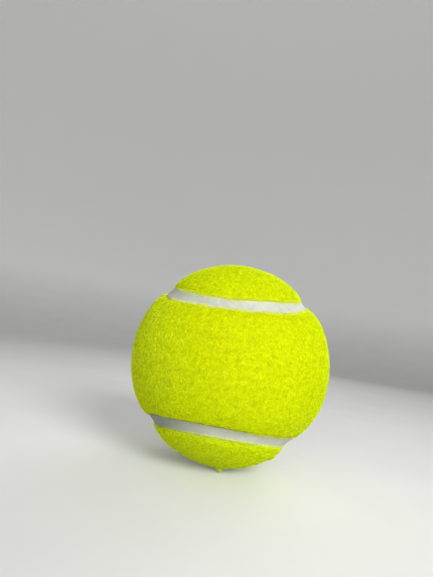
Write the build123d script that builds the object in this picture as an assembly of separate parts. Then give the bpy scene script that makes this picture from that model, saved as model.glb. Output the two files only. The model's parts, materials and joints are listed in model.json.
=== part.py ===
from build123d import *
from build123d.topology import SkipClean
import os
from math import atan2, cos, pi, sin, sqrt

# A felt-covered tennis ball: two moulded rubber half-shells cemented rim to rim into a hollow core,
# two dog-bone felt panels cemented over it, and a white rubber seam strip that fills the joint
# between the panels. Millimetres. The origin is the ball's centre and +Z is up. The waist of the
# front panel faces -Y and its round ends lie at +X and -X. The waist of the rear panel faces +Y and
# its round ends lie at +Z and -Z, so that each panel wraps the other.

# Driving dimensions
BALL_DIAMETER = 67.0  # over the crown of the felt
FELT_THICKNESS = 3.2  # woven cloth with its raised nap
PANEL_CEMENT = 0.3  # rubber cement on the back of each panel
CORE_WALL = 3.4  # moulded rubber half-shell
RIM_CEMENT = 0.3  # cement film between the two half-shell rims
RIM_BEAD = 0.8  # radius of the cement squeezed out inside the rim joint
PANEL_WAIST = 40.2  # over the felt, from seam centre to seam centre where a panel is narrowest
SEAM_STRAIGHT = 13.5  # over the felt, the straight stretch between one panel end's arc and the next
SEAM_WIDTH = 4.0  # between the two felt edges, along the strip's outer face
SEAM_RECESS = 1.7  # from the felt's crown down to the strip's outer face
FELT_EDGE_ROUND = 1.2  # where the nap rolls over at a panel's edge

# Radii of the layers, from the crown of the felt inwards
CROWN_RADIUS = BALL_DIAMETER / 2
FELT_BACK_RADIUS = CROWN_RADIUS - FELT_THICKNESS
CORE_RADIUS = FELT_BACK_RADIUS - PANEL_CEMENT
CAVITY_RADIUS = CORE_RADIUS - CORE_WALL
SEAM_RADIUS = CROWN_RADIUS - SEAM_RECESS

# The seam's centre line over the quarter of the ball with +X and +Z, in unit vectors and radians: a
# straight stretch through the quarter's middle, then an arc from each end of it to the edge of the
# quarter. One arc goes round the middle of the rear panel's upper end, which lies in the plane X = 0,
# and the other round the middle of the front panel's right end, which lies in the plane Z = 0. The
# stretch slants off the Y direction by the angle that makes the arcs meet those planes at the waists.
half_waist = PANEL_WAIST / 2 / CROWN_RADIUS
half_straight = SEAM_STRAIGHT / 2 / CROWN_RADIUS
half_width = SEAM_WIDTH / 2 / SEAM_RADIUS
slant = atan2(
    sqrt(2) * cos(half_waist) * cos(half_straight),
    sin(half_straight) + cos(half_straight) * sin(half_waist),
) - atan2(
    cos(half_straight) + sin(half_straight) * sin(half_waist),
    cos(half_waist),
)
quarter_middle = Vector(1, 0, 1).normalized()
to_rear = Vector(-1, 0, 1).normalized() * cos(slant) - Vector(0, 1, 0) * sin(slant)
along_seam = to_rear.cross(quarter_middle)
straight_start = quarter_middle * cos(half_straight) - along_seam * sin(half_straight)
straight_finish = quarter_middle * cos(half_straight) + along_seam * sin(half_straight)
arc_angle = atan2(straight_start.X, -to_rear.X)
rear_panel_end = straight_start * cos(arc_angle) + to_rear * sin(arc_angle)
front_panel_end = straight_finish * cos(arc_angle) - to_rear * sin(arc_angle)


def ring_cut(pole, angle):
    """Plane that cuts the crown sphere along the circle at an angle round a pole, facing the pole."""
    return Plane(pole * (CROWN_RADIUS * cos(angle)), z_dir=pole)


def sliced(face, planes, toward):
    """The parts of a face that planes cut it into, in order toward a direction."""
    parts = [face]
    for plane in planes:
        parts = [piece for part in parts for piece in part.split(plane, keep=Keep.ALL)]
    return sorted(parts, key=lambda part: part.center(CenterOf.MASS).dot(toward))


def quarter_patches():
    """Faces on a quarter of the crown sphere: the front panel's, the seam's and the rear panel's."""
    meridian = Edge.make_circle(CROWN_RADIUS, Plane.YZ, 0, 180)
    quarter = Face.revolve(meridian, 90, Axis.Y)
    stretch_ends = [Plane((0, 0, 0), z_dir=end.cross(to_rear)) for end in (straight_start, straight_finish)]
    sectors = sliced(quarter, stretch_ends, Vector(0, 1, 0))
    poles = (rear_panel_end, to_rear, -front_panel_end)
    angles = (arc_angle, pi / 2, pi - arc_angle)
    patches = []
    for sector, pole, angle in zip(sectors, poles, angles):
        felt_edges = [ring_cut(pole, angle + half_width), ring_cut(pole, angle - half_width)]
        patches.append(sliced(sector, felt_edges, pole))
    return zip(*patches)


def wedge(patch, inner, outer):
    """Solid between two radii over a patch of the crown sphere, with radial walls."""
    inside = patch.scale(inner / CROWN_RADIUS)
    outside = patch.scale(outer / CROWN_RADIUS)
    walls = [Face.make_surface_from_curves(low, high) for low, high in zip(inside.edges(), outside.edges())]
    return Solid(Shell([inside, outside, *walls]))


def layer(patches, inner, outer):
    """One solid over a quarter's patches and their mirror images in the planes X = 0 and Z = 0."""
    wedges = [wedge(patch, inner, outer) for patch in patches]
    with SkipClean():
        quarter = wedges[0].fuse(*wedges[1:])
        half = quarter.fuse(quarter.mirror(Plane.YZ))
        return half.fuse(half.mirror(Plane.XY))


def rolled(panel):
    """A felt panel with its outer edge rounded over: the outermost edges of its radial walls."""
    walls = panel.faces().filter_by(GeomType.SPHERE, reverse=True)
    rim = walls.edges().group_by(lambda edge: (edge @ 0.5).length)[-1]
    return panel.fillet(FELT_EDGE_ROUND, rim)


# Hollow rubber core in two moulded halves, each with a flat rim
cavity = Solid.make_sphere(CAVITY_RADIUS, angle1=-90, angle2=90)
core_shell = Solid.make_sphere(CORE_RADIUS, angle1=-90, angle2=90) - cavity
upper_rim = Plane.XY.offset(RIM_CEMENT / 2)
lower_rim = Plane.XY.offset(-RIM_CEMENT / 2)
core_half_upper = core_shell.split(upper_rim, keep=Keep.TOP)
core_half_lower = core_shell.split(lower_rim, keep=Keep.BOTTOM)

# Cement of the rim joint: the film between the rims and the bead squeezed out of it into the cavity
film = core_shell.split(upper_rim, keep=Keep.BOTTOM).split(lower_rim, keep=Keep.TOP)
bead = Solid.make_torus(CAVITY_RADIUS, RIM_BEAD).intersect(cavity)
core_joint_cement = film + bead

# Cement coats, felt panels and seam strip, all parted along the same two felt edges
front_patches, seam_patches, rear_patches = quarter_patches()
pieces = {
    "core_half_upper": core_half_upper,
    "core_half_lower": core_half_lower,
    "core_joint_cement": core_joint_cement,
    "front_panel_cement": layer(front_patches, CORE_RADIUS, FELT_BACK_RADIUS),
    "rear_panel_cement": layer(rear_patches, CORE_RADIUS, FELT_BACK_RADIUS),
    "front_felt_panel": rolled(layer(front_patches, FELT_BACK_RADIUS, CROWN_RADIUS)),
    "rear_felt_panel": rolled(layer(rear_patches, FELT_BACK_RADIUS, CROWN_RADIUS)),
    "seam_strip": layer(seam_patches, CORE_RADIUS, SEAM_RADIUS),
}

os.makedirs("parts", exist_ok=True)
for name, piece in pieces.items():
    export_step(piece, f"parts/{name}.step")
    print(name, type(piece).__name__, round(piece.volume, 1), piece.is_valid, len(piece.faces()))
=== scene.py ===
import json
from math import atan2, cos, pi, sin, sqrt

import bpy
import numpy as np
from mathutils import Matrix, Vector, geometry, noise

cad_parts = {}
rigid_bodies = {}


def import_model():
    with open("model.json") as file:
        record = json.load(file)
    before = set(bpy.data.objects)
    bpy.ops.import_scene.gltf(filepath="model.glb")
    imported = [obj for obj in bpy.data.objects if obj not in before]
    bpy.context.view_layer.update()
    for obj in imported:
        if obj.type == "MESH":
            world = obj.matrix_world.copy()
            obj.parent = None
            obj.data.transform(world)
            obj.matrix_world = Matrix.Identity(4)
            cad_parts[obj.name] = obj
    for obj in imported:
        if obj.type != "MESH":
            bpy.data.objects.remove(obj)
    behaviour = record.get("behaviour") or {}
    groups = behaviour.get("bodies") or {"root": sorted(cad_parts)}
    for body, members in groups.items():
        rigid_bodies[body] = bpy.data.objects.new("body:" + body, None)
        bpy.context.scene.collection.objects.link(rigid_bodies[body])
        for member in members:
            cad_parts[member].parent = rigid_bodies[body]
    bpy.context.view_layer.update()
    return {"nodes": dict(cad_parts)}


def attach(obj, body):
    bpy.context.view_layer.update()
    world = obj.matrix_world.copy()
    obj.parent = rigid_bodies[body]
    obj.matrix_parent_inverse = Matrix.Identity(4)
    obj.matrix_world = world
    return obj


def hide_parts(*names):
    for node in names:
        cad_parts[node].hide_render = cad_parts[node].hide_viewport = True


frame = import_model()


# Core halves: two hollow half-shells of black rubber, compression-moulded in a heated plate mould.
# Their outsides are buffed with an abrasive wheel so that the cement keys to them.
CORE_BLACK = (0.022, 0.022, 0.025, 1.0)
CORE_DUSTED = (0.075, 0.073, 0.075, 1.0)
CORE_ROUGHNESS = (0.62, 0.88)
SCRATCH_DEPTH = 0.00012
SCRATCH_STRETCH = (1.0, 1.0, 0.15)
MOST_NOISE = (0.3, 0.7)  # the bounds that nearly all of a noise's values lie between
NOISE_ROUGHNESS = 0.6


def new_material(name):
    """A material, its node tree and its surface shader."""
    material = bpy.data.materials.new(name)
    material.use_nodes = True
    return material, material.node_tree, material.node_tree.nodes["Principled BSDF"]


def add_node(tree, kind, inputs=None, **settings):
    """A node with its settings, and with its inputs set to values or wired to other nodes' outputs."""
    node = tree.nodes.new(kind)
    for name, value in settings.items():
        setattr(node, name, value)
    for key, value in (inputs or {}).items():
        if isinstance(value, bpy.types.NodeSocket):
            tree.links.new(value, node.inputs[key])
        else:
            node.inputs[key].default_value = value
    return node


def ramp(tree, factor, *stops):
    """The colour that a factor picks between stops, each a place and a colour."""
    node = add_node(tree, "ShaderNodeValToRGB", {"Fac": factor})
    points = node.color_ramp.elements
    while len(points) < len(stops):
        points.new(0.5)
    for point, (place, colour) in zip(points, stops):
        point.position = place
        point.color = colour
    return node.outputs["Color"]


def between(tree, value, bounds, to_bounds):
    """A value's place between two bounds, carried over to two others."""
    inputs = {"Value": value}
    inputs["From Min"], inputs["From Max"] = bounds
    inputs["To Min"], inputs["To Max"] = to_bounds
    return add_node(tree, "ShaderNodeMapRange", inputs).outputs["Result"]


def speckle(tree, place, per_metre, detail, stretch=(1.0, 1.0, 1.0)):
    """Noise at a number of grains to the metre, stretched along an axis where that is asked for."""
    placed = add_node(tree, "ShaderNodeMapping", {"Vector": place, "Scale": stretch}).outputs["Vector"]
    inputs = {"Vector": placed, "Scale": per_metre, "Detail": detail, "Roughness": NOISE_ROUGHNESS}
    return add_node(tree, "ShaderNodeTexNoise", inputs).outputs["Fac"]


def bump(tree, height, depth, strength=1.0):
    """A surface normal from a height, whose full range stands that many metres deep."""
    inputs = {"Height": height, "Distance": depth, "Strength": strength}
    return add_node(tree, "ShaderNodeBump", inputs).outputs["Normal"]


core_rubber, tree, surface = new_material("buffed_core_rubber")
place = add_node(tree, "ShaderNodeTexCoord").outputs["Object"]
dust = speckle(tree, place, per_metre=160.0, detail=4.0)
scratches = speckle(tree, place, per_metre=900.0, detail=3.0, stretch=SCRATCH_STRETCH)
tree.links.new(ramp(tree, dust, (0.35, CORE_BLACK), (0.75, CORE_DUSTED)), surface.inputs["Base Color"])
tree.links.new(between(tree, scratches, MOST_NOISE, CORE_ROUGHNESS), surface.inputs["Roughness"])
tree.links.new(bump(tree, scratches, SCRATCH_DEPTH), surface.inputs["Normal"])
for half in ("core_half_upper", "core_half_lower"):
    node = frame["nodes"][half]
    node.data.materials.clear()
    node.data.materials.append(core_rubber)


# Cement: rubber solution brushed on and cured. One film joins the rims of the core halves, with a bead
# squeezed out inside, and a coat on the back of each panel sticks the cloth to the core.
CEMENT_AMBER = (0.42, 0.31, 0.15, 1.0)
CEMENT_PALE = (0.68, 0.58, 0.40, 1.0)
CEMENT_ROUGHNESS = (0.28, 0.52)
BRUSH_DEPTH = 0.00008
BRUSH_STRETCH = (1.0, 0.12, 1.0)

cement, tree, surface = new_material("cured_rubber_cement")
place = add_node(tree, "ShaderNodeTexCoord").outputs["Object"]
clouds = speckle(tree, place, per_metre=120.0, detail=3.0)
brushing = speckle(tree, place, per_metre=700.0, detail=2.0, stretch=BRUSH_STRETCH)
tree.links.new(ramp(tree, clouds, (0.3, CEMENT_AMBER), (0.7, CEMENT_PALE)), surface.inputs["Base Color"])
tree.links.new(between(tree, brushing, MOST_NOISE, CEMENT_ROUGHNESS), surface.inputs["Roughness"])
tree.links.new(bump(tree, brushing, BRUSH_DEPTH), surface.inputs["Normal"])
for coat in ("core_joint_cement", "front_panel_cement", "rear_panel_cement"):
    node = frame["nodes"][coat]
    node.data.materials.clear()
    node.data.materials.append(cement)


# Seam strip: white vulcanised rubber that the panels' edges are dipped in. It flows level in the joint
# when the ball is cured in its mould, climbs the cloth a little and ends up well below the nap.
BALL_RADIUS = 0.0335
PANEL_WAIST = 0.0408
SEAM_STRAIGHT = 0.0135
SEAM_WIDTH = 0.0042
SEAM_FOOT = 0.0039
SEAM_RADIUS = 0.0318
CORE_RADIUS = 0.0300
SEAM_DISH = 0.00028
SEAM_LUMPS = 0.00006
SEAM_LUMP_SIZE = 0.0016
SEAM_SEED = 1
SEAM_STEP = 0.00040
SEAM_FACE_ROWS = 13
SEAM_FOOT_ROWS = 4
SIDE_STEP = 0.02  # angle that is stepped aside to tell which way leads off the seam
GRAIN_SHIFT = np.array((7.31, 3.17, 5.73))  # moves each seed to its own stretch of the noise
# Where the felt stands off the seam: the place as a unit vector, how far it stands off and the reach
SEAM_GAPES = (
    ((-0.20, -0.82, -0.54), 0.00033, 0.013),
    ((-0.46, -0.67, 0.58), 0.00030, 0.007),
    ((0.63, -0.52, -0.58), 0.00040, 0.008),
    ((0.50, -0.64, 0.58), 0.00036, 0.008),
)
SEAM_WHITE = (0.54, 0.56, 0.475, 1.0)
SEAM_DUSTY = (0.44, 0.455, 0.39, 1.0)
SEAM_STAINED = (0.56, 0.60, 0.28, 1.0)
SEAM_GRITTY = (0.40, 0.42, 0.36, 1.0)
# The colour of the painted shade and painted shadow on the strip.
SEAM_PAINTED_SHADE = (0.25, 0.275, 0.25, 1.0)
SEAM_ROUGHNESS = (0.52, 0.74)
GRIT_DEPTH = 0.00010
GRIT_SHARE = 0.7
STAIN_EDGES = (0.50, 1.02)  # from where the felt's dye starts to where it is strongest, in half widths
STAIN_SHARE = 0.85
STAIN_WANDER = 0.25
# Painted shade: the strip darkens round one spot low on the ball's left, where the groove lies in shadow.
PAINTED_SHADE_SPOT = (-0.0201, -0.0188, -0.0191)
PAINTED_SHADE_REACH = 0.022
PAINTED_SHADE_HEART = 0.25  # share of the reach that is shaded all over
# Painted shadow: the strip darkens along the front panel's edge on the lower half of the ball, where that
# edge overhangs the strip and shades it from the light above.
SHADOW_LINE_SHARE = 0.35
SHADOW_LINE_SIDE = (0.5, 1.0)  # half widths towards the front panel, from no painted shadow to all of it
SHADOW_LINE_LOW = (0.0, 1 / 3)  # ball radii below the centre, from no painted shadow to all of it

# The seam's centre line over the quarter of the ball with +X and +Z, in unit vectors and radians: a
# straight stretch through the quarter's middle, then an arc from each end of it to the quarter's edge,
# round the middle of one panel's end and then round the middle of the other's.
half_waist = PANEL_WAIST / 2 / BALL_RADIUS
half_straight = SEAM_STRAIGHT / 2 / BALL_RADIUS
half_width = SEAM_WIDTH / 2 / SEAM_RADIUS
half_foot = SEAM_FOOT / 2 / SEAM_RADIUS
slant = atan2(
    sqrt(2) * cos(half_waist) * cos(half_straight),
    sin(half_straight) + cos(half_straight) * sin(half_waist),
) - atan2(
    cos(half_straight) + sin(half_straight) * sin(half_waist),
    cos(half_waist),
)
quarter_middle = np.array((1.0, 0.0, 1.0)) / sqrt(2)
to_rear = np.array((-1.0, 0.0, 1.0)) / sqrt(2) * cos(slant) - np.array((0.0, 1.0, 0.0)) * sin(slant)
along_seam = np.cross(to_rear, quarter_middle)
straight_start = quarter_middle * cos(half_straight) - along_seam * sin(half_straight)
straight_finish = quarter_middle * cos(half_straight) + along_seam * sin(half_straight)
arc_angle = atan2(straight_start[0], -to_rear[0])
rear_panel_end = straight_start * cos(arc_angle) + to_rear * sin(arc_angle)
front_panel_end = straight_finish * cos(arc_angle) - to_rear * sin(arc_angle)


def ring_arc(pole, angle, first, last):
    """Unit vectors round a pole at an angle from it, from beside one direction to beside another."""
    towards = first - pole * (pole @ first)
    towards /= np.linalg.norm(towards)
    sideways = np.cross(pole, towards)
    turn = atan2(sideways @ last, towards @ last)
    count = max(2, round(abs(turn) * sin(arc_angle) * BALL_RADIUS / SEAM_STEP))
    turns = np.linspace(0.0, turn, count, endpoint=False)[:, None]
    return pole * cos(angle) + sin(angle) * (towards * np.cos(turns) + sideways * np.sin(turns))


def seam_loop(offset):
    """Unit vectors right along the seam, at an angle off its centre line, positive on the front panel."""
    waist = np.array((0.0, -1.0, 0.0))
    tip = np.array((0.0, 1.0, 0.0))
    quarter = np.vstack((
        ring_arc(rear_panel_end, arc_angle + offset, waist, straight_start),
        ring_arc(to_rear, pi / 2 + offset, straight_start, straight_finish),
        ring_arc(front_panel_end, arc_angle - offset, straight_finish, tip),
        front_panel_end * cos(arc_angle - offset)
        + np.cross((0.0, 0.0, 1.0), front_panel_end) * sin(arc_angle - offset),
    ))
    lower = (quarter * (1, 1, -1))[::-1]
    half = np.vstack((quarter[:-1], lower[:-1]))
    return np.vstack((half, half * (-1, 1, -1)))


def gaping(points):
    """Angle by which the felt stands further off the seam's centre line, at unit vectors."""
    gape = np.zeros(len(points))
    for spot, extra, reach in SEAM_GAPES:
        away = ((points - np.array(spot)) ** 2).sum(axis=1)
        gape += extra * np.exp(-away * (BALL_RADIUS / reach) ** 2)
    return gape / BALL_RADIUS


def to_front_panel(units):
    """Unit vectors on the front panel, which stay where they are."""
    return units


def seam_edge(offset, share=1.0, placed=to_front_panel):
    """The seam's loop at an angle off its centre line, moved off it by a share of the gape there."""
    row = seam_loop(offset)
    outwards = seam_loop(offset + SIDE_STEP) - row
    outwards /= np.linalg.norm(outwards, axis=1)[:, None]
    return row + outwards * (share * gaping(placed(row)))[:, None]


def seam_distance(points):
    """Angle from the seam's centre line to unit vectors, positive on the front panel."""
    folded = np.abs(points) * (1, 0, 1) + points * (0, 1, 0)
    round_rear = np.arccos(np.clip(folded @ rear_panel_end, -1, 1)) - arc_angle
    round_front = arc_angle - np.arccos(np.clip(folded @ front_panel_end, -1, 1))
    straight = -np.arcsin(np.clip(folded @ to_rear, -1, 1))
    before = folded @ np.cross(to_rear, straight_start) < 0
    after = folded @ np.cross(to_rear, straight_finish) > 0
    return np.where(before, round_rear, np.where(after, round_front, straight))


def grain(points, size, seed):
    """Noise from -1 to 1 at points in metres, whose lumps are about that size across."""
    shift = Vector(seed * GRAIN_SHIFT)
    return np.array([noise.noise(Vector(point) / size + shift) for point in points])


def new_piece(name, vertices, faces, material):
    """A smooth-shaded mesh object whose faces point outwards."""
    mesh = bpy.data.meshes.new(name)
    mesh.from_pydata([tuple(vertex) for vertex in vertices], [], faces)
    mesh.validate()
    mesh.shade_smooth()
    mesh.materials.append(material)
    piece = bpy.data.objects.new(name, mesh)
    bpy.context.scene.collection.objects.link(piece)
    return piece


def band(low, high, count):
    """Quads between two closed rows of points, each given by the number of its first point."""
    return [(low + i, low + (i + 1) % count, high + (i + 1) % count, high + i) for i in range(count)]


def strips(rows, count, closed):
    """Quads between rows of points that each go once round, numbered row by row."""
    quads = []
    for row in range(rows if closed else rows - 1):
        quads += band(row * count, (row + 1) % rows * count, count)
    return quads


def blend(tree, share, first, second, how="MIX"):
    """A first colour that goes over to a second one by a share from 0 to 1."""
    inputs = {"Factor": share, "A": first, "B": second}
    return add_node(tree, "ShaderNodeMix", inputs, data_type="RGBA", blend_type=how).outputs[2]


def reckon(tree, operation, *values, **settings):
    """The result of a sum on values or other nodes' outputs."""
    node = add_node(tree, "ShaderNodeMath", dict(enumerate(values)), operation=operation, **settings)
    return node.outputs["Value"]


def away_from(tree, place, spot):
    """Distance in metres from a spot."""
    node = add_node(tree, "ShaderNodeVectorMath", {0: place, 1: spot}, operation="DISTANCE")
    return node.outputs["Value"]


seam_rubber, tree, surface = new_material("white_seam_rubber")
place = add_node(tree, "ShaderNodeTexCoord").outputs["Object"]
across = add_node(tree, "ShaderNodeAttribute", attribute_name="across").outputs["Fac"]
# The strip's painted shadow under the front panel's lower edge, read from the mesh.
shadow_line = add_node(tree, "ShaderNodeAttribute", attribute_name="grime").outputs["Fac"]
dust = speckle(tree, place, per_metre=420.0, detail=4.0)
fine = speckle(tree, place, per_metre=2600.0, detail=2.0)
clean = ramp(tree, dust, (0.38, SEAM_WHITE), (0.72, SEAM_DUSTY))
gritty = blend(tree, between(tree, fine, (0.50, 0.72), (0.0, GRIT_SHARE)), clean, SEAM_GRITTY)
ragged = reckon(tree, "ADD", across, between(tree, fine, (0.2, 0.8), (-STAIN_WANDER, STAIN_WANDER)))
stained = blend(tree, between(tree, ragged, STAIN_EDGES, (0.0, STAIN_SHARE)), gritty, SEAM_STAINED)
# Painted shade round that spot and painted shadow under the front panel's edge darken the strip.
painted_shade_edges = (PAINTED_SHADE_HEART * PAINTED_SHADE_REACH, PAINTED_SHADE_REACH)
painted_shade = between(tree, away_from(tree, place, PAINTED_SHADE_SPOT), painted_shade_edges, (1.0, 0.0))
painted_darkening = reckon(tree, "MULTIPLY_ADD", shadow_line, SHADOW_LINE_SHARE, painted_shade, use_clamp=True)
tree.links.new(blend(tree, painted_darkening, stained, SEAM_PAINTED_SHADE), surface.inputs["Base Color"])
tree.links.new(between(tree, dust, MOST_NOISE, SEAM_ROUGHNESS), surface.inputs["Roughness"])
tree.links.new(bump(tree, fine, GRIT_DEPTH, strength=0.6), surface.inputs["Normal"])

outer = np.linspace(1.0, -1.0, SEAM_FACE_ROWS)
inner = np.linspace(-1.0, 1.0, SEAM_FOOT_ROWS)
rows = [seam_edge(share * half_width, share) for share in outer]
rows += [seam_loop(share * half_foot) for share in inner]
loop_points = len(rows[0])
sides = np.repeat((*outer, *inner), loop_points)
shares = np.abs(sides)
directions = np.vstack(rows)
heights = SEAM_RADIUS - SEAM_DISH * (1 - shares ** 2)
heights += SEAM_LUMPS * grain(directions * BALL_RADIUS, SEAM_LUMP_SIZE, SEAM_SEED)
heights[len(outer) * loop_points:] = CORE_RADIUS
quads = strips(len(rows), loop_points, closed=True)
seam_strip = new_piece("seam_strip_rubber", directions * heights[:, None], quads, seam_rubber)
# Painted shadow along the front panel's edge, in the ball's lower half.
grime = np.interp(sides, SHADOW_LINE_SIDE, (0.0, 1.0)) * np.interp(-directions[:, 2], SHADOW_LINE_LOW, (0.0, 1.0))
for name, values in (("across", shares), ("grime", grime)):
    attribute = seam_strip.data.attributes.new(name, "FLOAT", "POINT")
    attribute.data.foreach_set("value", values.astype(np.float32))
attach(seam_strip, "root")
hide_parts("seam_strip")


# Felt panels: two dog-bone cuts of melton cloth, woven in wool and nylon on cotton, napped and dyed optic
# yellow. They are pulled over the core and cemented to it. Steaming then raises the nap, which rolls over
# at the panels' edges.
FELT_BACK = 0.0303
NAP_HEIGHT = 0.00018
EDGE_ROLL = 0.0017
EDGE_HEIGHT = 0.00080
EDGE_SINK = 0.00110
EDGE_SINK_REACH = 0.0034
EDGE_WOBBLE = 0.00030
EDGE_WAVES = ((0.0045, 1.0), (0.0016, 0.6))  # size of a wave along the edge and its share of the wobble
EDGE_SEED = 4
ROLL_ROWS = 8
SIDES_PACKED = 0.00030  # how much lower the felt lies at the ball's left and right
CUT_STEP = 0.0008  # from the cloth's back up to its cut edge
CLOTH_STEP = 0.00042
BACK_STEP = 0.0020
RIM_ROOM = 0.6  # share of a step that is left free beside a rim
NAP_LUMPS = ((0.0140, 0.00013), (0.0036, 0.00010), (0.0015, 0.00004))  # size and depth
# Where the felt stands higher or lower: the place as a unit vector, the height and the reach
TUFTS = (((0.075, -0.282, -0.957), 0.0011, 0.0008), ((0.55, -0.21, -0.805), 0.0006, 0.0010))
SWELLS = (
    ((0.79, -0.26, -0.56), -0.0012, 0.0060),
    ((-0.57, -0.58, -0.58), -0.0007, 0.0050),
    ((-0.63, -0.49, 0.60), -0.0008, 0.0045),
    ((0.84, -0.27, 0.47), 0.0007, 0.0060),
    ((0.22, -0.26, -0.94), 0.0003, 0.0090),
)
FRONT_SEED = 11
REAR_SEED = 31
FELT_DEEP = (0.34, 0.435, 0.0005, 1.0)
FELT_YELLOW = (0.46, 0.575, 0.001, 1.0)
FELT_BRIGHT = (0.58, 0.705, 0.002, 1.0)
FELT_FLECK = (0.80, 0.92, 0.02, 1.0)
FELT_SHEEN = (1.0, 1.0, 0.01, 1.0)
FELT_ROUGHNESS = (0.86, 1.0)
FLECK_SHARE = 0.55
SHADE_SHARE = 0.45
STREAK_DEPTH = 0.00022
STREAK_STRETCH = (1.0, 1.0, 0.28)
CROSS_STRETCH = (0.3, 1.0, 1.0)
# Painted warm light: the felt is a warmer yellow round a spot on the front, where the warm front light
# falls. Elsewhere it is a touch greener.
UNWARMED_TINT = (0.98, 1.0, 1.0, 1.0)
WARM_LIGHT_TINT = (1.03, 0.95, 1.0, 1.0)
WARM_LIGHT_SPOT = (0.0103, -0.0307, 0.0086)
WARM_LIGHT_REACH = 0.034
WARM_LIGHT_HEART = 0.3  # share of the reach that is warmed all over


def warm_lit(tree, colour):
    """A felt colour under painted warm light, a warmer and slightly darker yellow round a spot on the front.
    """
    place = add_node(tree, "ShaderNodeTexCoord").outputs["Object"]
    warm_light_edges = (WARM_LIGHT_HEART * WARM_LIGHT_REACH, WARM_LIGHT_REACH)
    warm_light = between(tree, away_from(tree, place, WARM_LIGHT_SPOT), warm_light_edges, (1.0, 0.0))
    return blend(tree, 1.0, colour, blend(tree, warm_light, UNWARMED_TINT, WARM_LIGHT_TINT), how="MULTIPLY")


felt, tree, surface = new_material("optic_yellow_felt")
place = add_node(tree, "ShaderNodeTexCoord").outputs["Object"]
clumps = speckle(tree, place, per_metre=700.0, detail=3.0)
streaks = speckle(tree, place, per_metre=3200.0, detail=2.0, stretch=STREAK_STRETCH)
cross_streaks = speckle(tree, place, per_metre=2600.0, detail=2.0, stretch=CROSS_STRETCH)
patches = speckle(tree, place, per_metre=130.0, detail=2.0)
body = ramp(tree, clumps, (0.25, FELT_DEEP), (0.5, FELT_YELLOW), (0.8, FELT_BRIGHT))
flecked = blend(tree, between(tree, streaks, (0.60, 0.74), (0.0, FLECK_SHARE)), body, FELT_FLECK)
shaded = blend(tree, between(tree, cross_streaks, (0.26, 0.42), (SHADE_SHARE, 0.0)), flecked, FELT_DEEP)
# The felt's colour, with the painted warm light over it.
tree.links.new(warm_lit(tree, shaded), surface.inputs["Base Color"])
tree.links.new(between(tree, patches, MOST_NOISE, FELT_ROUGHNESS), surface.inputs["Roughness"])
tree.links.new(bump(tree, streaks, STREAK_DEPTH, strength=0.8), surface.inputs["Normal"])
surface.inputs["Specular IOR Level"].default_value = 0.005
surface.inputs["Sheen Weight"].default_value = 0.18
surface.inputs["Sheen Roughness"].default_value = 0.5
surface.inputs["Sheen Tint"].default_value = FELT_SHEEN


def cloth_patch(rim, step, margin, placed):
    """Unit vectors over the front panel inside a rim, the rim's own first, and triangles between them."""
    count = int(4 * pi * BALL_RADIUS ** 2 / (step ** 2 * sqrt(3) / 2))
    index = np.arange(count) + 0.5
    level = 1 - 2 * index / count
    turn = index * pi * (1 + sqrt(5))
    spread = np.sqrt(1 - level ** 2)
    spiral = np.column_stack((spread * np.cos(turn), level, spread * np.sin(turn)))
    spiral = spiral[seam_distance(spiral) - gaping(placed(spiral)) > margin]
    points = np.vstack((rim, spiral))
    # This flat map keeps the triangles' shapes, and its poles and its cut lie on the rear panel
    flat = np.column_stack((np.arctan2(points[:, 0], -points[:, 1]), np.arctanh(points[:, 2])))
    ring = list(range(len(rim)))
    found = geometry.delaunay_2d_cdt([Vector(pair) for pair in flat], [], [ring], 1, 1e-9)
    kept = np.array([origin[0] for origin in found[3]])
    return points[kept], [tuple(face) for face in found[2]]


def to_rear_panel(units):
    """Unit vectors on the front panel carried over to the rear panel."""
    return units[:, (2, 1, 0)] * (1, -1, 1)


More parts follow.
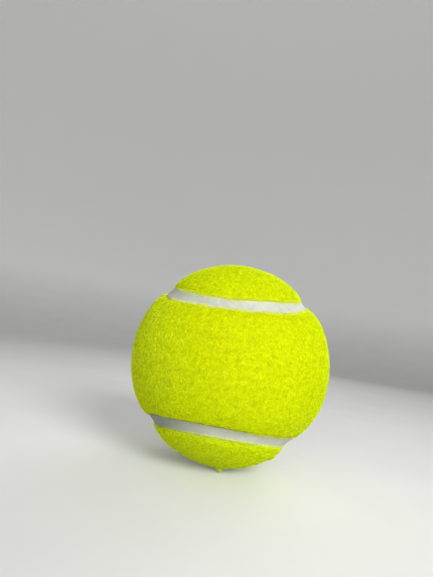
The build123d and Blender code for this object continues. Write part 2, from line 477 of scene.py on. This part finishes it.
def felt_panel(name, placed, seed):
    """A panel's closed mesh, and the points, faces and middles of the faces of its napped side.

    The mesh is the napped face with its rolled edge, the cut edge below it and the back.
    """
    roll = np.radians(np.linspace(90.0, 0.0, ROLL_ROWS))
    insets = EDGE_ROLL * (1 - np.cos(roll))
    drops = EDGE_HEIGHT * (1 - np.sin(roll))
    rims = [seam_edge(half_width + inset / BALL_RADIUS, 1.0, placed) for inset in insets]
    rim_points = len(rims[0])
    margin = half_width + (EDGE_ROLL + RIM_ROOM * CLOTH_STEP) / BALL_RADIUS
    face, triangles = cloth_patch(rims[0], CLOTH_STEP, margin, placed)
    cut = seam_edge(half_width, 1.0, placed)
    back_margin = half_width + RIM_ROOM * BACK_STEP / BALL_RADIUS
    back, back_triangles = cloth_patch(cut, BACK_STEP, back_margin, placed)

    inward = seam_loop(half_width + SIDE_STEP) - cut
    inward /= np.linalg.norm(inward, axis=1)[:, None]
    edge = rims[-1] * BALL_RADIUS
    waves = [share * grain(edge, size, seed + EDGE_SEED + k) for k, (size, share) in enumerate(EDGE_WAVES)]
    for row, lean in zip(rims[1:], np.cos(roll[1:])):
        row += inward * (lean * EDGE_WOBBLE / BALL_RADIUS * sum(waves))[:, None]
    inset = (seam_distance(face) - gaping(placed(face)) - half_width) * BALL_RADIUS
    inset = np.concatenate((inset, np.repeat(insets[1:], rim_points)))
    drop = np.concatenate((np.zeros(len(face)), np.repeat(drops[1:], rim_points)))
    directions = placed(np.vstack((face, *rims[1:])))
    back = placed(back)

    spots = directions * BALL_RADIUS
    near_edge = np.exp(-inset / EDGE_SINK_REACH)
    nap = sum(depth * grain(spots, size, seed + k) for k, (size, depth) in enumerate(NAP_LUMPS))
    radii = BALL_RADIUS - NAP_HEIGHT - drop - EDGE_SINK * near_edge
    radii -= SIDES_PACKED * directions[:, 0] ** 2 * (1 - near_edge)
    radii += nap * (1 - drop / EDGE_HEIGHT)
    for spot, height, reach in (*TUFTS, *SWELLS):
        away = ((spots - np.array(spot) * BALL_RADIUS) ** 2).sum(axis=1)
        radii += height * np.exp(-away / reach ** 2)
    napped = directions * radii[:, None]
    cut_edge = back[:rim_points] * (FELT_BACK + CUT_STEP)
    vertices = np.vstack((napped, cut_edge, back * FELT_BACK))

    rolled_rows = [len(face) + k * rim_points for k in range(len(rims) - 1)]
    back_start = len(napped) + rim_points
    starts = [0, *rolled_rows, len(napped), back_start]
    walls = [quad for low, high in zip(starts, starts[1:]) for quad in band(low, high, rim_points)]
    rolled_quads = len(rolled_rows) * rim_points
    napped_faces = triangles + walls[:rolled_quads]
    underside = [(a + back_start, c + back_start, b + back_start) for a, b, c in back_triangles]
    panel = new_piece(name, vertices, napped_faces + walls[rolled_quads:] + underside, felt)
    middles = np.array([napped[list(corners)].mean(axis=0) for corners in napped_faces])
    return panel, napped, napped_faces, middles


front_felt, *front_face = felt_panel("front_felt_cloth", to_front_panel, FRONT_SEED)
rear_felt, *rear_face = felt_panel("rear_felt_cloth", to_rear_panel, REAR_SEED)
for panel, node in ((front_felt, "front_felt_panel"), (rear_felt, "rear_felt_panel")):
    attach(panel, "root")
    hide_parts(node)


# Nap: wool and nylon fibres teased out of the cloth's face. They lie tangled and nearly flat, some curl up
# at their ends, and along the seam they hang out over the white rubber.
STRAND_SIZE = (0.0009, 0.000045)  # length and radius
HAIR_SIZE = (0.0011, 0.000022)
STRAND_SHAPES = 8
STRAND_RINGS = 3
STRAND_SEED = 500
STRAND_BEND = 0.9
STRAND_TWIST = 0.5
STRAND_LIFT = (0.02, 0.12)
STRAND_TAPER = 0.6
SIDE_TURNS = (90, 210, 330)
TINT_COLUMNS = 16
TINT_SPOTS = (0.2, 0.5, 0.8)  # where a fibre's three sides lie across its column of the tint map
TINT_ENDS = (0.05, 0.95)  # where its root and its tip lie along that column
COMBED = (0.1, 0.1, -1.0)
SLOPE_STEP = 0.001  # stepped to either side of a point to tell which way leads to the seam
# Near-black colour of strands that stand in for shadow under the front panel's lower edge.
NAP_PAINTED_SHADOW = (0.10, 0.11, 0.015, 1.0)
NAP_DEEP = (0.56, 0.69, 0.0005, 1.0)
NAP_YELLOW = (0.76, 0.89, 0.001, 1.0)
NAP_BRIGHT = (0.88, 1.0, 0.004, 1.0)
NAP_PALE = (0.95, 1.0, 0.16, 1.0)
NAP_TIP = (0.90, 1.0, 0.01, 1.0)
NAP_SHEEN = (0.72, 1.0, 0.45, 1.0)
NAP_ROUGHNESS = (0.95, 0.8)
TIP_SHARE = 0.25

nap_fibre, tree, surface = new_material("felt_fibre")
tint_map = add_node(tree, "ShaderNodeUVMap", uv_map="OFBake").outputs["UV"]
column, length = add_node(tree, "ShaderNodeSeparateXYZ", {"Vector": tint_map}).outputs[:2]
# Tint 0 is the painted shadow colour.
tints = ramp(
    tree, column,
    (0.05, NAP_PAINTED_SHADOW), (0.075, NAP_DEEP), (0.35, NAP_YELLOW), (0.92, NAP_BRIGHT), (0.98, NAP_PALE),
)
tipped = blend(tree, between(tree, length, (0.5, 1.0), (0.0, TIP_SHARE)), tints, NAP_TIP)
# The fibres' colour, with the painted warm light over it.
tree.links.new(warm_lit(tree, tipped), surface.inputs["Base Color"])
tree.links.new(between(tree, length, (0.0, 1.0), NAP_ROUGHNESS), surface.inputs["Roughness"])
surface.inputs["Specular IOR Level"].default_value = 0.01
surface.inputs["Sheen Weight"].default_value = 0.18
surface.inputs["Sheen Roughness"].default_value = 0.35
surface.inputs["Sheen Tint"].default_value = NAP_SHEEN


def strand(number, length, radius):
    """One crimped fibre along +X, three-sided, thinner at its tip, with its length along V of its map."""
    draws = np.random.default_rng(STRAND_SEED + number)
    bend = draws.uniform(-STRAND_BEND, STRAND_BEND)
    twist = draws.uniform(-STRAND_TWIST, STRAND_TWIST)
    lift = draws.uniform(*STRAND_LIFT)
    share = np.linspace(0.0, 1.0, STRAND_RINGS)
    heading = bend * share + twist * np.sin(2 * pi * share)
    steps = np.column_stack((np.cos(heading), np.sin(heading), lift * np.cos(pi * share)))
    line = np.vstack(((0, 0, 0), np.cumsum((steps[1:] + steps[:-1]) / 2, axis=0))) / (STRAND_RINGS - 1)
    line = line * length - np.array((0, 0, radius))
    thick = radius * (1 - STRAND_TAPER * share ** 2)
    ring = [np.array((0, cos(turn), sin(turn))) for turn in np.radians(SIDE_TURNS)]
    vertices = [point + size * corner for point, size in zip(line, thick) for corner in ring]
    faces = [(2, 1, 0)] + strips(STRAND_RINGS, len(ring), closed=False)
    faces.append(tuple(range(len(vertices) - len(ring), len(vertices))))
    mesh = bpy.data.meshes.new(f"strand_{number}")
    mesh.from_pydata(vertices, [], faces)
    heights = np.linspace(*TINT_ENDS, STRAND_RINGS)
    for loop, spot in zip(mesh.loops, mesh.uv_layers.new(name="OFBake").data):
        level, side = divmod(loop.vertex_index, len(ring))
        spot.uv = (TINT_SPOTS[side], heights[level])
    return bpy.data.objects.new(f"strand_{number}", mesh)


fibres = {}
for kind, size in (("strands", STRAND_SIZE), ("hairs", HAIR_SIZE)):
    fibres[kind] = bpy.data.collections.new(kind)
    for number in range(STRAND_SHAPES):
        fibres[kind].objects.link(strand(number, *size))

nap_tree = bpy.data.node_groups.new("scatter_nap", "GeometryNodeTree")
sockets = {}
for kind, names in (
    ("Geometry", ("Ground",)),
    ("Collection", ("Strands",)),
    ("Float", ("Density", "Shortest", "Longest", "Flattest", "Steepest", "Spread")),
    ("Int", ("Seed", "First Tint", "Last Tint")),
    ("Material", ("Material",)),
):
    for name in names:
        socket = nap_tree.interface.new_socket(name=name, in_out="INPUT", socket_type="NodeSocket" + kind)
        sockets[name] = socket.identifier
nap_tree.interface.new_socket(name="Nap", in_out="OUTPUT", socket_type="NodeSocketGeometry")
given = add_node(nap_tree, "NodeGroupInput").outputs


def chance(low, high, draw, whole=False):
    """A random value for each fibre between two bounds, which differs from one draw to the next."""
    seed = add_node(nap_tree, "FunctionNodeIntegerMath", {0: given["Seed"], 1: draw}, operation="ADD")
    node = add_node(nap_tree, "FunctionNodeRandomValue", data_type="INT" if whole else "FLOAT")
    lowest, highest = [socket for socket in node.inputs if socket.enabled and socket.name in ("Min", "Max")]
    for socket, value in ((lowest, low), (highest, high)):
        if isinstance(value, bpy.types.NodeSocket):
            nap_tree.links.new(value, socket)
        else:
            socket.default_value = value
    nap_tree.links.new(seed.outputs[0], node.inputs["Seed"])
    return next(socket for socket in node.outputs if socket.enabled)


def turned(rotation, axis, angle):
    """A rotation with a further turn about one of its own axes."""
    by = add_node(nap_tree, "FunctionNodeAxisAngleToRotation", {"Axis": axis, "Angle": angle})
    inputs = {"Rotation": rotation, "Rotate By": by.outputs["Rotation"]}
    node = add_node(nap_tree, "FunctionNodeRotateRotation", inputs, rotation_space="LOCAL")
    return node.outputs["Rotation"]


def named(name, kind):
    """An attribute of the geometry by its name."""
    node = add_node(nap_tree, "GeometryNodeInputNamedAttribute", {"Name": name}, data_type=kind)
    return node.outputs["Attribute"]


roots = add_node(
    nap_tree, "GeometryNodeDistributePointsOnFaces",
    {"Mesh": given["Ground"], "Density": given["Density"], "Seed": given["Seed"]},
)
combed = add_node(
    nap_tree, "FunctionNodeAlignRotationToVector",
    {"Rotation": roots.outputs["Rotation"], "Vector": named("comb", "FLOAT_VECTOR")},
    axis="X", pivot_axis="Z",
)
other_way = reckon(nap_tree, "MULTIPLY", given["Spread"], -1.0)
spun = turned(combed.outputs["Rotation"], (0, 0, 1), chance(other_way, given["Spread"], draw=1))
slope = chance(given["Flattest"], given["Steepest"], draw=2)
tilted = turned(spun, (0, 1, 0), reckon(nap_tree, "MULTIPLY", slope, -1.0))
shapes = add_node(
    nap_tree, "GeometryNodeCollectionInfo",
    {"Collection": given["Strands"], "Separate Children": True, "Reset Children": True},
)
planted = add_node(
    nap_tree, "GeometryNodeInstanceOnPoints",
    {
        "Points": roots.outputs["Points"],
        "Instance": shapes.outputs["Instances"],
        "Pick Instance": True,
        "Instance Index": chance(0, STRAND_SHAPES - 1, draw=3, whole=True),
        "Rotation": tilted,
        "Scale": chance(given["Shortest"], given["Longest"], draw=4),
    },
)
tint = chance(given["First Tint"], given["Last Tint"], draw=5, whole=True)
tinted = add_node(
    nap_tree, "GeometryNodeStoreNamedAttribute",
    {"Geometry": planted.outputs["Instances"], "Name": "tint", "Value": tint},
    data_type="INT", domain="INSTANCE",
)
realized = add_node(nap_tree, "GeometryNodeRealizeInstances", {"Geometry": tinted.outputs["Geometry"]})
own_column = add_node(nap_tree, "ShaderNodeCombineXYZ", {"X": named("tint", "FLOAT")})
moved = add_node(
    nap_tree, "ShaderNodeVectorMath",
    {0: named("OFBake", "FLOAT_VECTOR"), 1: own_column.outputs["Vector"]}, operation="ADD",
)
shrunk = add_node(
    nap_tree, "ShaderNodeVectorMath",
    {0: moved.outputs["Vector"], 1: (1 / TINT_COLUMNS, 1.0, 1.0)}, operation="MULTIPLY",
)
mapped = add_node(
    nap_tree, "GeometryNodeStoreNamedAttribute",
    {"Geometry": realized.outputs["Geometry"], "Name": "OFBake", "Value": shrunk.outputs["Vector"]},
    data_type="FLOAT2", domain="CORNER",
)
finished = add_node(
    nap_tree, "GeometryNodeSetMaterial",
    {"Geometry": mapped.outputs["Geometry"], "Material": given["Material"]},
)
add_node(nap_tree, "NodeGroupOutput", {"Nap": finished.outputs["Geometry"]})


def part_of_face(face, kept, comb=COMBED):
    """An object with the kept faces of a napped face, and the direction that their nap is combed in."""
    points, faces, _ = face
    ground = new_piece("ground", points, [corners for corners, keep in zip(faces, kept) if keep], felt)
    combs = np.broadcast_to(comb, points.shape).astype(np.float32)
    ground.data.attributes.new("comb", "FLOAT_VECTOR", "POINT").data.foreach_set("vector", combs.ravel())
    return ground


def grow_nap(name, ground, seed, kind, *lay):
    """A plain mesh of fibres rooted on part of a napped face, riding on the ball."""
    modifier = ground.modifiers.new("nap", "NODES")
    modifier.node_group = nap_tree
    laid = ("Density", "Shortest", "Longest", "Flattest", "Steepest", "Spread", "First Tint", "Last Tint")
    settings = dict(zip(laid, lay))
    settings.update({"Strands": fibres[kind], "Seed": seed, "Material": nap_fibre})
    for socket, value in settings.items():
        modifier[sockets[socket]] = value
    evaluated = ground.evaluated_get(bpy.context.evaluated_depsgraph_get())
    mesh = bpy.data.meshes.new_from_object(evaluated)
    bpy.data.objects.remove(ground)
    mesh.name = name
    mesh.shade_smooth()
    nap = bpy.data.objects.new(name, mesh)
    bpy.context.scene.collection.objects.link(nap)
    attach(nap, "root")
    return nap


def seamwards(points):
    """The direction straight to the seam from points on the front panel, and from it on the rear panel."""
    units = points / np.linalg.norm(points, axis=1)[:, None]
    slopes = [seam_distance(units - step) - seam_distance(units + step) for step in SLOPE_STEP * np.eye(3)]
    return np.column_stack(slopes)


# Each layer's fibres: their kind, how many to the square metre, their shortest and longest share of the
# shape's length, their flattest and steepest slope, how far they stray from the combing, and their first
# and last tint.
NAP_LAYERS = {
    "lying": ("strands", 2.1e6, 0.7, 1.4, -0.03, 0.12, pi, 1, 13),
    "crossing": ("strands", 2.1e6, 0.6, 1.3, -0.03, 0.20, pi, 1, 13),
    "combed": ("strands", 2.1e6, 0.7, 1.5, -0.03, 0.18, 1.0, 1, 14),
    "raised": ("strands", 1.7e6, 0.5, 1.0, 0.0, 0.35, pi, 1, 14),
}
FRINGE = ("hairs", 3.8e7, 0.7, 1.7, 0.10, 0.60, 1.0, 13, 15)
# Painted shadow: dark strands on the front panel's lower edge at the ball's lower left, where the rolled
# edge faces down, away from the light.
SHADOW_STRANDS = ("strands", 1.2e7, 0.4, 0.9, 0.0, 0.4, 0.9, 0, 0)
LOOSE = ("strands", 4.0e6, 0.7, 1.2, 0.0, 0.25, 0.5, 13, 15)
TUFT_FUZZ = ("hairs", 2.0e7, 0.1, 0.35, 0.0, 1.2, pi, 8, 15)
FRINGE_ROWS = (4, 2)  # rows of faces, counted from the panel's edge
SHADOW_STRAND_ROWS = (4, 1)
SHADOW_STRAND_SIDEWAYS = (-1.0, 0.35)
SHADOW_STRAND_UPWARDS = (-1.0, -0.2)
WORN_SPOTS = ((-0.72, -0.69, -0.05), (-0.30, -0.45, -0.84))
WORN_REACH = (0.78, 0.96)  # cosine of the angle to such a spot, from no wear to all worn
FRONT_NAP_SEED = 100
REAR_NAP_SEED = 200
FRINGE_DRAW = 7
LOOSE_DRAW = 8
SHADOW_STRAND_DRAW = 9
TUFT_DRAW = 9


def inside(values, bounds):
    """Which values lie between two bounds."""
    low, high = bounds
    return (values > low) & (values < high)


def by_edge(rows_left, bounds):
    """Which faces lie in the rows between two counts from the panel's edge."""
    most, fewest = bounds
    return (rows_left <= most) & (rows_left > fewest)


naps = {}
for side, face, facing, seed in (
    ("front", front_face, 1.0, FRONT_NAP_SEED),
    ("rear", rear_face, -1.0, REAR_NAP_SEED),
):
    points, faces, middles = face
    to_seam = facing * seamwards(points)
    units = middles / np.linalg.norm(middles, axis=1)[:, None]
    everywhere = np.ones(len(faces), bool)
    rows_left = (len(faces) - np.arange(len(faces))) / loop_points
    # Faces where the painted shadow strands grow.
    shadowed_faces = inside(units[:, 0], SHADOW_STRAND_SIDEWAYS) & inside(units[:, 2], SHADOW_STRAND_UPWARDS) & (side == "front")
    nearness = np.max([units @ np.array(spot) for spot in WORN_SPOTS], axis=0)
    worn = np.random.default_rng(seed).random(len(faces)) < np.interp(nearness, WORN_REACH, (0.0, 1.0))
    naps[side] = [
        grow_nap(f"{side}_nap_{layer}", part_of_face(face, everywhere), seed + k, *lay)
        for k, (layer, lay) in enumerate(NAP_LAYERS.items())
    ]
    fringed = part_of_face(face, by_edge(rows_left, FRINGE_ROWS) & ~shadowed_faces, to_seam)
    naps[side].append(grow_nap(f"{side}_nap_fringe", fringed, seed + FRINGE_DRAW, *FRINGE))
    if side == "front":
        # Dark strands as painted shadow on the downward-facing edge.
        shadow_ground = part_of_face(face, by_edge(rows_left, SHADOW_STRAND_ROWS) & shadowed_faces, to_seam)
        naps[side].append(grow_nap("front_nap_soiled", shadow_ground, seed + SHADOW_STRAND_DRAW, *SHADOW_STRANDS))
    naps[side].append(grow_nap(f"{side}_nap_loose", part_of_face(face, worn), seed + LOOSE_DRAW, *LOOSE))
tufted = np.zeros(len(rear_face[2]), bool)
for spot, height, reach in TUFTS:
    tufted |= np.linalg.norm(rear_face[2] - np.array(spot) * BALL_RADIUS, axis=1) < reach + height
tuft_ground = part_of_face(rear_face, tufted)
naps["rear"].append(grow_nap("rear_nap_tufts", tuft_ground, REAR_NAP_SEED + TUFT_DRAW, *TUFT_FUZZ))
for kind in fibres.values():
    for shape in list(kind.objects):
        bpy.data.objects.remove(shape)


# Studio: a pale seamless paper floor that sweeps up all round, a soft key lamp above and to the right of the
# camera, a weaker one on its left, one behind the ball, and an even grey sky. Each lamp has a grid. The
# camera stands where the photograph was taken from.
FLOOR_LEVEL = -0.0336
FLOOR_PALE = (0.74, 0.74, 0.73, 1.0)
FLOOR_PALER = (0.78, 0.78, 0.77, 1.0)
FLOOR_BOUNCE = (0.66, 0.66, 0.65, 1.0)
FLOOR_GLOW = 0.16
WALL_GLOW = 0.38
GLOW_RISE = 0.12
FLOOR_MIDDLE = 0.02
FLOOR_EDGE = 0.62
FLOOR_ROWS = 12
SWEEP_RADIUS = 1.0
SWEEP_TURNS = (6, 90)
SWEEP_ROWS = 15
WALL_TOP = 2.5
FLOOR_SIDES = 96

paper, tree, surface = new_material("pale_paper_sweep")
place = add_node(tree, "ShaderNodeTexCoord").outputs["Object"]
tone = speckle(tree, place, per_metre=18.0, detail=3.0)
pale = ramp(tree, tone, (0.3, FLOOR_PALE), (0.7, FLOOR_PALER))
path = add_node(tree, "ShaderNodeLightPath").outputs
seen = path["Is Camera Ray"]
for ray in ("Is Glossy Ray", "Is Transmission Ray"):
    seen = reckon(tree, "MAXIMUM", seen, path[ray])
tree.links.new(blend(tree, seen, FLOOR_BOUNCE, pale), surface.inputs["Base Color"])
level = add_node(tree, "ShaderNodeSeparateXYZ", {"Vector": place}).outputs["Z"]
backing = between(tree, level, (FLOOR_LEVEL, GLOW_RISE), (FLOOR_GLOW, WALL_GLOW))
tree.links.new(reckon(tree, "MULTIPLY", seen, backing), surface.inputs["Emission Strength"])
surface.inputs["Emission Color"].default_value = FLOOR_PALE
surface.inputs["Roughness"].default_value = 0.9
surface.inputs["Specular IOR Level"].default_value = 0.1

profile = [(radius, 0.0) for radius in np.linspace(FLOOR_MIDDLE, FLOOR_EDGE, FLOOR_ROWS)]
for turn in np.radians(np.linspace(*SWEEP_TURNS, SWEEP_ROWS)):
    profile.append((FLOOR_EDGE + SWEEP_RADIUS * sin(turn), SWEEP_RADIUS * (1 - cos(turn))))
profile.append((FLOOR_EDGE + SWEEP_RADIUS, WALL_TOP))
turns = np.linspace(2 * pi, 0, FLOOR_SIDES, endpoint=False)
vertices = [
    (radius * cos(turn), radius * sin(turn), FLOOR_LEVEL + rise)
    for radius, rise in profile
    for turn in turns
]
faces = strips(len(profile), FLOOR_SIDES, closed=False)
faces.append(tuple(reversed(range(FLOOR_SIDES))))
floor = new_piece("paper_sweep", vertices, faces, paper)

LAMP_SPREAD = pi / 3
LAMPS = (  # place, width and power
    ("key_softbox", (0.36, -0.43, 0.26), 0.30, 0.54),
    ("front_fill", (-0.10, -0.57, 0.14), 0.40, 0.22),
    ("rear_fill", (0.22, 0.55, 0.30), 0.50, 0.30),
)
SKY_GREY = (0.90, 0.91, 0.92, 1.0)
SKY_STRENGTH = 0.44

for name, stand, width, watts in LAMPS:
    lamp = bpy.data.lights.new(name, "AREA")
    lamp.size = width
    lamp.spread = LAMP_SPREAD
    lamp.energy = watts
    holder = bpy.data.objects.new(name, lamp)
    holder.location = stand
    holder.rotation_euler = (-Vector(stand)).to_track_quat("-Z", "Y").to_euler()
    bpy.context.scene.collection.objects.link(holder)
world = bpy.data.worlds.new("studio")
world.use_nodes = True
sky = world.node_tree.nodes["Background"]
sky.inputs["Color"].default_value = SKY_GREY
sky.inputs["Strength"].default_value = SKY_STRENGTH
bpy.context.scene.world = world

CAMERA_PLACE = (0.61689, -4.45101, 0.27523)  # in ball radii
CAMERA_FORWARD = (-0.18872, 0.97668, 0.10236)
CAMERA_UP = (-0.11649, -0.12576, 0.98520)
SENSOR_WIDTH = 36.0
LENS_LENGTH = 27.02
NEAREST_SEEN = 0.01

forward = Vector(CAMERA_FORWARD).normalized()
right = forward.cross(Vector(CAMERA_UP)).normalized()
up = right.cross(forward)
lens = bpy.data.cameras.new("photograph")
lens.sensor_width = SENSOR_WIDTH
lens.lens = LENS_LENGTH
lens.clip_start = NEAREST_SEEN
camera = bpy.data.objects.new("photograph", lens)
aim = Matrix((right, up, -forward)).transposed().to_4x4()
camera.matrix_world = Matrix.Translation(Vector(CAMERA_PLACE) * BALL_RADIUS) @ aim
bpy.context.scene.collection.objects.link(camera)
bpy.context.scene.camera = camera
bpy.context.scene.view_settings.view_transform = "Standard"
